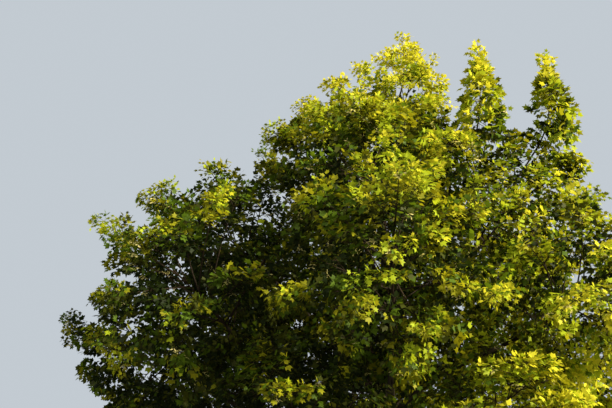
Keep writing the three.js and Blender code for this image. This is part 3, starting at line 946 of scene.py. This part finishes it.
def bark_rise(point, ridge):
    """Long interlacing ridges: high where a stretched noise is near its middle value."""
    p = Vector((point.x / ridge.across, point.y / ridge.across, point.z / ridge.along))
    wander = noise.noise(p * RIDGE_NET.wander_often + Vector(RIDGE_NET.wander_shift))
    wander *= RIDGE_NET.wander
    net = 1 - RIDGE_NET.steepness * abs(noise.noise(p + Vector((wander, wander, 0))))
    rough = RIDGE_NET.roughness * noise.noise(p * RIDGE_NET.rough_often)
    return net - RIDGE_NET.level + rough


def make_trunk_bark():
    def place(t, angle):
        upright = np.clip(1 - t * TRUNK.top, 0, 1)[:, None]  # the rings lie level at the ground
        ahead = unit(trunk_heading(t) * (1 - upright) + UP * upright)
        return trunk_at(t), ahead, trunk_radius(t, angle), TRUNK.top

    sides, rings = TRUNK_BARK.sides, TRUNK_BARK.rings
    return limb_form("trunk_bark", sides, rings, lambda t: t**TRUNK.crowding, place, TRUNK_RIDGE)


def make_bough_bark(bough):
    def place(t, angle):
        return along(bough.line, t), heading(bough.line, t), bough_radius(bough, t), bough.length

    rings = max(BOUGH_BARK.least_rings, round(bough.length / BOUGH_BARK.ring))
    name = f"bark_{bough.name}"
    return limb_form(name, BOUGH_BARK.sides, rings, lambda t: t, place, BOUGH_RIDGE)


# Materials


def linear(code):
    """An sRGB hex colour as linear red, green, blue and 1."""
    parts = [int(code[i : i + 2], 16) / 255 for i in (1, 3, 5)]
    return (*(c / 12.92 if c <= 0.04045 else ((c + 0.055) / 1.055) ** 2.4 for c in parts), 1.0)


# The colour sockets of a Mix node, which share their names with its other sockets: the colour
# beneath, the one that the factor lays over it, and what comes out
UNDER, OVER, MIXED = 6, 7, 2


def add(tree, kind, inputs=None, **settings):
    """Adds a node with its settings. An input is given a value or linked to another's output."""
    made = tree.nodes.new(kind)
    for name, value in settings.items():
        setattr(made, name, value)
    for name, value in (inputs or {}).items():
        if isinstance(value, bpy.types.NodeSocket):
            tree.links.new(value, made.inputs[name])
        else:
            made.inputs[name].default_value = value
    return made


def per_metre(size):
    """How often a pattern of a size in millimetres repeats in a metre."""
    return 1000 / size


def new_material(name):
    material = bpy.data.materials.new(name)
    material.use_nodes = True
    material.node_tree.nodes.clear()
    return material, material.node_tree


def furrowed_bark():
    """Old maple bark, split by the trunk's own growth into long ridges. Dull everywhere: the
    ridge tops are weathered grey with a fibrous grain and a little green algae, and the furrows are
    darkened nearly to black, partly the darker bark inside them and partly painted shade. The
    fibres are finer in life and drawn as coarse as they need to show."""
    material, tree = new_material("furrowed_maple_bark")
    straight = add(tree, "ShaderNodeAttribute", attribute_name="straight").outputs["Vector"]
    ridge = add(tree, "ShaderNodeAttribute", attribute_name="ridge").outputs["Fac"]
    fibres = add(
        tree,
        "ShaderNodeMapping",
        {"Vector": straight, "Scale": [per_metre(size) for size in (13.3, 13.3, 125)]},
    )
    grain = add(
        tree,
        "ShaderNodeTexNoise",
        {"Vector": fibres.outputs["Vector"], "Scale": 1.0, "Detail": 5.0, "Roughness": 0.65},
    )
    wood = add(
        tree,
        "ShaderNodeMix",
        {"Factor": grain.outputs["Fac"], UNDER: linear("#14110d"), OVER: linear("#5a5248")},
        data_type="RGBA",
    )
    algae = add(
        tree,
        "ShaderNodeTexNoise",
        {"Vector": straight, "Scale": per_metre(320), "Detail": 4.0},
    )
    patch = add(
        tree,
        "ShaderNodeMapRange",
        {"Value": algae.outputs["Fac"], "From Min": 0.52, "From Max": 0.7, "To Max": 0.35},
    )
    weathered = add(
        tree,
        "ShaderNodeMix",
        {"Factor": patch.outputs["Result"], UNDER: wood.outputs[MIXED], OVER: linear("#464a37")},
        data_type="RGBA",
    )
    # Darker down into the furrows by the ridge's own height: painted shade, over the darker bark
    # inside them
    top = add(
        tree,
        "ShaderNodeMapRange",
        {"Value": ridge, "From Min": -0.55, "From Max": 0.3, "To Min": 0.12},
        interpolation_type="SMOOTHSTEP",
    )
    colour = add(
        tree,
        "ShaderNodeMix",
        {"Factor": top.outputs["Result"], UNDER: linear("#17120d"), OVER: weathered.outputs[MIXED]},
        data_type="RGBA",
    )
    bump = add(
        tree,
        "ShaderNodeBump",
        {"Height": grain.outputs["Fac"], "Strength": 0.8, "Distance": 0.006},
    )
    surface = add(
        tree,
        "ShaderNodeBsdfPrincipled",
        {
            "Base Color": colour.outputs[MIXED],
            "Roughness": 0.92,
            "Normal": bump.outputs["Normal"],
            "Specular IOR Level": 0.15,
        },
    )
    add(tree, "ShaderNodeOutputMaterial", {"Surface": surface.outputs["BSDF"]})
    return material


def limb_bark():
    """Younger bark, stretched and only starting to split: fine streaks run along the bough, and
    its small breathing pores are a little paler. Its shallow splits are darkened nearly to black,
    partly the darker bark inside them and partly painted shade. A little smoother than the trunk's.
    The streaks and pores are finer in life and drawn as coarse as they need to show."""
    material, tree = new_material("young_maple_bark")
    straight = add(tree, "ShaderNodeAttribute", attribute_name="straight").outputs["Vector"]
    ridge = add(tree, "ShaderNodeAttribute", attribute_name="ridge").outputs["Fac"]
    streaks = add(
        tree,
        "ShaderNodeMapping",
        {"Vector": straight, "Scale": [per_metre(size) for size in (11.1, 11.1, 111)]},
    )
    grain = add(
        tree,
        "ShaderNodeTexNoise",
        {"Vector": streaks.outputs["Vector"], "Scale": 1.0, "Detail": 4.0, "Roughness": 0.65},
    )
    wood = add(
        tree,
        "ShaderNodeMix",
        {"Factor": grain.outputs["Fac"], UNDER: linear("#211b15"), OVER: linear("#4f473c")},
        data_type="RGBA",
    )
    pores = add(
        tree,
        "ShaderNodeTexVoronoi",
        {"Vector": straight, "Scale": per_metre(13.3), "Randomness": 1.0},
    )
    dots = add(
        tree,
        "ShaderNodeMapRange",
        {
            "Value": pores.outputs["Distance"],
            "From Min": 0.1,
            "From Max": 0.22,
            "To Min": 0.4,
            "To Max": 0.0,
        },
    )
    pored = add(
        tree,
        "ShaderNodeMix",
        {"Factor": dots.outputs["Result"], UNDER: wood.outputs[MIXED], OVER: linear("#5d5446")},
        data_type="RGBA",
    )
    # Darker down into the splits by the ridge's own height: painted shade, over the darker bark
    # inside them
    top = add(
        tree,
        "ShaderNodeMapRange",
        {"Value": ridge, "From Min": -0.8, "From Max": 0.0},
        interpolation_type="SMOOTHSTEP",
    )
    colour = add(
        tree,
        "ShaderNodeMix",
        {"Factor": top.outputs["Result"], UNDER: linear("#17120d"), OVER: pored.outputs[MIXED]},
        data_type="RGBA",
    )
    bump = add(
        tree,
        "ShaderNodeBump",
        {"Height": grain.outputs["Fac"], "Strength": 0.6, "Distance": 0.003},
    )
    surface = add(
        tree,
        "ShaderNodeBsdfPrincipled",
        {
            "Base Color": colour.outputs[MIXED],
            "Roughness": 0.86,
            "Normal": bump.outputs["Normal"],
            "Specular IOR Level": 0.15,
        },
    )
    add(tree, "ShaderNodeOutputMaterial", {"Surface": surface.outputs["BSDF"]})
    return material


def twig_bark():
    """This year's and last year's wood: thin dark olive-brown bark, smooth and almost dull, with
    a slight unevenness, drawn as coarse as it needs to show."""
    material, tree = new_material("smooth_twig_bark")
    place = add(tree, "ShaderNodeTexCoord").outputs["Object"]
    mottle = add(
        tree,
        "ShaderNodeTexNoise",
        {"Vector": place, "Scale": per_metre(11.1), "Detail": 2.0},
    )
    bump = add(
        tree,
        "ShaderNodeBump",
        {"Height": mottle.outputs["Fac"], "Strength": 0.3, "Distance": 0.001},
    )
    surface = add(
        tree,
        "ShaderNodeBsdfPrincipled",
        {
            "Base Color": linear("#241c12"),
            "Roughness": 0.68,
            "Specular IOR Level": 0.12,
            "Normal": bump.outputs["Normal"],
        },
    )
    add(tree, "ShaderNodeOutputMaterial", {"Surface": surface.outputs["BSDF"]})
    return material


VEINS_IN_A_TURN = 9.1  # so that the lobes' veins stand 40 degrees apart
LEAF_THROUGH = 0.42  # how much of a leaf's light comes through it
KEY_THROUGH = 0.35


def leaf_blade(name, front, through):
    """A maple leaf: a thin waxy blade, half matt, that light also shines through in a warmer
    and yellower green. Its veins spread from the stalk like a fan and stand a little proud."""
    material, tree = new_material(name)
    blade = add(tree, "ShaderNodeUVMap", uv_map="blade").outputs["UV"]
    parts = add(tree, "ShaderNodeSeparateXYZ", {"Vector": blade})
    angle = add(
        tree,
        "ShaderNodeMath",
        {0: parts.outputs["X"], 1: parts.outputs["Y"]},
        operation="ARCTAN2",
    )
    fan = add(
        tree,
        "ShaderNodeMath",
        {0: angle.outputs["Value"], 1: VEINS_IN_A_TURN},
        operation="MULTIPLY",
    )
    wave = add(tree, "ShaderNodeMath", {0: fan.outputs["Value"]}, operation="COSINE")
    veins = add(
        tree,
        "ShaderNodeMapRange",
        {"Value": wave.outputs["Value"], "From Min": 0.8, "From Max": 1.0},
        interpolation_type="SMOOTHSTEP",
    )
    bump = add(
        tree,
        "ShaderNodeBump",
        {"Height": veins.outputs["Result"], "Strength": 0.35, "Distance": 0.0015},
    )
    blade_front = add(
        tree,
        "ShaderNodeBsdfPrincipled",
        {
            "Base Color": linear(front),
            "Roughness": 0.6,
            "Specular IOR Level": 0.16,
            "Normal": bump.outputs["Normal"],
        },
    )
    light_through = add(
        tree,
        "ShaderNodeBsdfTranslucent",
        {"Color": linear(through), "Normal": bump.outputs["Normal"]},
    )
    surface = add(
        tree,
        "ShaderNodeMixShader",
        {0: LEAF_THROUGH, 1: blade_front.outputs["BSDF"], 2: light_through.outputs["BSDF"]},
    )
    add(tree, "ShaderNodeOutputMaterial", {"Surface": surface.outputs["Shader"]})
    return material


def key_wing():
    """The wings of young keys: papery, pale yellow-green, dull, and lit through. Their veins
    are finer in life and drawn as coarse as they need to show."""
    material, tree = new_material("papery_key_wing")
    place = add(tree, "ShaderNodeTexCoord").outputs["Object"]
    veins = add(
        tree,
        "ShaderNodeTexNoise",
        {"Vector": place, "Scale": per_metre(6.25), "Detail": 2.0},
    )
    bump = add(
        tree,
        "ShaderNodeBump",
        {"Height": veins.outputs["Fac"], "Strength": 0.3, "Distance": 0.0008},
    )
    paper = add(
        tree,
        "ShaderNodeBsdfPrincipled",
        {
            "Base Color": linear("#d2c983"),
            "Roughness": 0.7,
            "Normal": bump.outputs["Normal"],
        },
    )
    light_through = add(tree, "ShaderNodeBsdfTranslucent", {"Color": linear("#d9d07a")})
    surface = add(
        tree,
        "ShaderNodeMixShader",
        {0: KEY_THROUGH, 1: paper.outputs["BSDF"], 2: light_through.outputs["BSDF"]},
    )
    add(tree, "ShaderNodeOutputMaterial", {"Surface": surface.outputs["Shader"]})
    return material


def studio_floor():
    """A plain pale floor of matt painted board."""
    material, tree = new_material("pale_matt_floor")
    surface = add(
        tree,
        "ShaderNodeBsdfPrincipled",
        {"Base Color": linear("#989a9d"), "Roughness": 0.9},
    )
    add(tree, "ShaderNodeOutputMaterial", {"Surface": surface.outputs["BSDF"]})
    return material


def green(name, share, front, through, slot):
    return SimpleNamespace(**locals())


# The greens, from the sunlit outside of the crown to its shaded inside. They are partly the paler
# green of real sun leaves and partly painted sunlight and painted shade, down to the near black of
# the deepest. For each: the share of all leaves that wear it, its colour, its colour with the light
# behind it and its slot
GREENS = [
    green("leaves_yellow_green", 0.09, "#bab82a", "#d5d034", "leaf_sunlit"),
    green("leaves_spring_green", 0.12, "#8f9f1c", "#adb922", "leaf_sunlit"),
    green("leaves_grass_green", 0.15, "#7b7d12", "#a09d18", "leaf_green"),
    green("leaves_maple_green", 0.18, "#435a0f", "#637812", "leaf_green"),
    green("leaves_olive_green", 0.2, "#353c0b", "#4f520e", "leaf_shaded"),
    green("leaves_deep_green", 0.26, "#182406", "#253108", "leaf_shaded"),
]


# What gives a shoot's leaves a lighter green: partly the real paleness of sun leaves and partly
# painted sunlight, with painted shade deeper in the crown. The sun stands towards +X. Height counts
# over the whole tree and once more over its top, and the crown's underside counts on the sunny side
# alone, as painted low sunlight
SUNLIT = SimpleNamespace(
    sunward=0.22,
    half_width=5.6,
    most_sunward=0.45,
    high=0.14,
    tree_height=12.9,
    top=0.476,
    top_foot=9.2,
    top_height=2.6,
    under=0.5,
    under_out=3.0,
    under_top=6.4,
    under_height=1.5,
    deep=0.26,
    twig_lean=0.06,
    own_lean=0.19,
    own_lean_sunward=0.18,
    own_lean_least=-0.045,
)


def brightness(twigs, shoots, luck):
    """How light a green each shoot's leaves wear: painted sunlight towards the sun, at the top and
    on the sunny underside, and painted shade deep in the crown, over the real paleness of sun
    leaves. A whole twig leans one way or the other, and so does each shoot, the more so on the
    sunny side."""
    x, z = shoots.tip[:, 0], shoots.tip[:, 2]
    sunward = np.minimum(x / SUNLIT.half_width, SUNLIT.most_sunward)
    top = np.clip((z - SUNLIT.top_foot) / SUNLIT.top_height, 0, 1)
    under = np.clip((SUNLIT.under_top - z) / SUNLIT.under_height, 0, 1)
    under *= np.clip(x / SUNLIT.under_out, 0, 1)
    twig_lean = luck.normal(0, SUNLIT.twig_lean, len(twigs.span))[shoots.owner]
    spread = np.maximum(SUNLIT.own_lean_sunward * sunward, SUNLIT.own_lean_least)
    own_lean = luck.normal(0, 1, len(x)) * (SUNLIT.own_lean + spread)
    lit = sunward * SUNLIT.sunward + z / SUNLIT.tree_height * SUNLIT.high
    lit += top * SUNLIT.top + under * SUNLIT.under - shoots.deep * SUNLIT.deep
    return lit + twig_lean + own_lean


# The tree


def dress_limbs(boughs):
    trunk = make_trunk_bark()
    trunk.data.materials.append(furrowed_bark())
    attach(trunk, "root")
    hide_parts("trunk")
    bark = limb_bark()
    for bough in boughs:
        piece = make_bough_bark(bough)
        piece.data.materials.append(bark)
        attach(piece, "root")
        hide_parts(bough.name)


def stand_for_masses(piece, masses, material, slot):
    piece.data.materials.append(material)
    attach(piece, "root")
    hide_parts(*[f"foliage_{mass.name}" for mass in masses])


def growth_rules(mass):
    """The rules for side twigs, for shoots on the twigs and for shoots on the side twigs. A
    narrow mass has fewer pairs."""
    side, shoot, side_shoot = SIDE_TWIG, SHOOT, SIDE_SHOOT
    if mass.tier.name in UPRIGHT:
        side = with_pairs(side, SLIM.side_pairs)
        side_shoot = with_pairs(side_shoot, SLIM.side_shoot_pairs)
    elif mass.tier.wide < WIDE_ENOUGH:
        side = with_pairs(side, NARROW_PAIRS)
    if mass.tier is SPIRE_TIER:
        shoot = with_pairs(shoot, SLIM.shoot_pairs)
    return side, shoot, side_shoot


def growth_sizes(mass, twigs, slender):
    """How long each twig's side twigs and shoots are, as shares of their rules' lengths."""
    if mass.tier is not SPIRE_TIER:
        full = np.ones((len(twigs.span), 1))
        return full * slender, full
    rise = (twigs.tip[:, 2] - mass.middle[2]) / mass.tier.tall
    narrow = np.interp(rise, *SLIM.narrows)[:, None]
    return narrow * slender, narrow * SLIM.shoot_size


def dress_masses(masses, limbs):
    """Grows every mass with its own luck: the wood of its twigs and its shoots, its leaves and
    the feet of its bunches of keys."""
    twig_wood, shoot_wood, leaves, key_feet = [], [], [], []
    for mass in masses:
        luck = np.random.default_rng(mass.seed)
        slender = min(1.0, mass.tier.wide / WIDE_ENOUGH)
        mass.stem = make_stem(mass)
        side_rule, shoot_rule, side_shoot_rule = growth_rules(mass)
        twigs = grow_twigs(masses, mass, luck)
        side_size, shoot_size = growth_sizes(mass, twigs, slender)
        sides = side_growth(masses, mass, twigs, side_rule, luck, side_size)
        twig_shoots = side_growth(masses, mass, twigs, shoot_rule, luck, shoot_size)
        own_size = shoot_size[sides.owner]
        side_shoots = side_growth(masses, mass, sides, side_shoot_rule, luck, own_size)
        twig_wood += [stem_wood(mass.stem), twigs_wood(twigs)]
        twig_wood.append(side_twigs_wood(sides, side_rule))
        shoot_wood.append(shoots_wood(twig_shoots, shoot_rule))
        shoot_wood.append(shoots_wood(side_shoots, side_shoot_rule))
        side_ends = end_shoots(sides)
        for group in (side_shoots, side_ends):
            group.owner = sides.owner[group.owner]
        shoots = merged([twig_shoots, end_shoots(twigs), side_shoots, side_ends])
        buried = np.log(fullness(masses, shoots.tip)) * slender
        shoots.deep = np.clip(buried, 0, DEEPEST * slender)
        # Painted sunlight and shade for each shoot, over the real tone of its leaves
        bright = brightness(twigs, shoots, luck)
        found = grow_leaves(masses, mass, shoots, luck, limbs)
        found.bright = bright[found.owner]
        found.plain = buried[found.owner] - found.bright * BRIGHT_AND_FULL
        leaves.append(found)
        bearing = luck.random(len(shoots.tip)) < KEYS.chance
        feet = (shoots.foot * (1 - KEYS.at) + shoots.tip * KEYS.at)[bearing]
        key_feet.append(feet[holds(masses, mass, feet - UP * KEYS.room)])
    return (twig_wood, shoot_wood), merged(leaves), np.concatenate(key_feet)


def gathered(parts):
    """Several lists of points and faces as one."""
    points, faces, start = [], [], 0
    for part_points, part_faces in parts:
        points.append(part_points)
        faces.append(part_faces + start)
        start += len(part_points)
    return np.concatenate(points), np.concatenate(faces)


def dealt(order, kinds):
    """Which kind each leaf gets when the kinds take their shares in the given order."""
    limits = np.quantile(order, np.cumsum([kind.share for kind in kinds])[:-1])
    return (order[:, None] > limits).sum(-1)


def dress_foliage(masses, boughs):
    limbs = limb_points(boughs)
    wood, leaves, key_feet = dress_masses(masses, limbs)
    bark = twig_bark()
    for name, parts in zip(("twigs", "shoots"), wood):
        stand_for_masses(mesh_from(name, *gathered(parts)), masses, bark, "bough_bark")
    # The lightest greens go where the painted sunlight is strongest, the darkest where the painted
    # shade is deepest
    worn = dealt(-leaves.bright, GREENS)
    outline = dealt(leaves.plain, OUTLINES)
    for number, tint in enumerate(GREENS):
        groups = [taken(leaves, (worn == number) & (outline == i)) for i in range(len(OUTLINES))]
        meshes = [leaf_meshes(group, form) for group, form in zip(groups, OUTLINES)]
        points, faces = gathered([mesh[:2] for mesh in meshes])
        piece = mesh_from(tint.name, points, faces, np.concatenate([mesh[2] for mesh in meshes]))
        stand_for_masses(piece, masses, leaf_blade(tint.name, tint.front, tint.through), tint.slot)
    luck = np.random.default_rng(SEEDS["masses"])
    keys = mesh_from("winged_keys", *key_bunches(key_feet, luck))
    stand_for_masses(keys, masses, key_wing(), "leaf_sunlit")


# The studio


FLOOR_RADIUS = 70
EYE = (-1.245, -13.8, 1.6)  # where the tree is seen from, at standing eye height
LOOKS_UP = 28  # degrees


def make_floor():
    form = bmesh.new()
    bmesh.ops.create_circle(form, cap_ends=True, segments=96, radius=FLOOR_RADIUS)
    mesh = bpy.data.meshes.new("studio_floor")
    form.to_mesh(mesh)
    form.free()
    floor = bpy.data.objects.new("studio_floor", mesh)
    floor.data.materials.append(studio_floor())
    bpy.context.scene.collection.objects.link(floor)
    floor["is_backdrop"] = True


def make_sun(name, strength, softness, colour, stands):
    """A far lamp, given by its strength, the angle that softens its shadows, its colour and the
    direction in which it stands."""
    lamp = bpy.data.lights.new(name, "SUN")
    lamp.energy = strength
    lamp.angle = math.radians(softness)
    lamp.color = linear(colour)[:3]
    holder = bpy.data.objects.new(name, lamp)
    holder.rotation_euler = Vector(stands).to_track_quat("Z", "Y").to_euler()
    bpy.context.scene.collection.objects.link(holder)


def make_light():
    """A warm key light low on the right, a weak and very soft one on the left, and an even pale
    fill from all round, weaker than the pale backdrop that is seen behind the tree."""
    make_sun("key", 15.0, 9, "#fff2da", (0.72, -0.54, 0.28))
    make_sun("side", 1.5, 60, "#e9eef2", (-0.85, -0.45, 0.35))
    world = bpy.data.worlds.new("studio")
    world.use_nodes = True
    tree = world.node_tree
    tree.nodes.clear()
    fill = add(tree, "ShaderNodeBackground", {"Color": linear("#e4e3d0"), "Strength": 0.3})
    backdrop = add(tree, "ShaderNodeBackground", {"Color": linear("#dde6ee"), "Strength": 0.75})
    path = add(tree, "ShaderNodeLightPath")
    seen = add(
        tree,
        "ShaderNodeMixShader",
        {
            0: path.outputs["Is Camera Ray"],
            1: fill.outputs["Background"],
            2: backdrop.outputs["Background"],
        },
    )
    add(tree, "ShaderNodeOutputWorld", {"Surface": seen.outputs["Shader"]})
    bpy.context.scene.world = world
    bpy.context.scene.view_settings.view_transform = "Standard"


def make_camera():
    """Stands where the tree was seen from: at eye height, looking up into the crown."""
    view = bpy.data.cameras.new("camera")
    view.lens = 50
    view.sensor_width = 36
    view.clip_end = 300
    camera = bpy.data.objects.new("camera", view)
    camera.location = EYE
    camera.rotation_euler = (math.radians(90 + LOOKS_UP), 0, 0)
    bpy.context.scene.collection.objects.link(camera)
    bpy.context.scene.camera = camera


masses = make_spaces()
boughs = make_boughs(masses)
make_camera()
make_light()
make_floor()
dress_limbs(boughs)
dress_foliage(masses, boughs)

seen_low, seen_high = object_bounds()
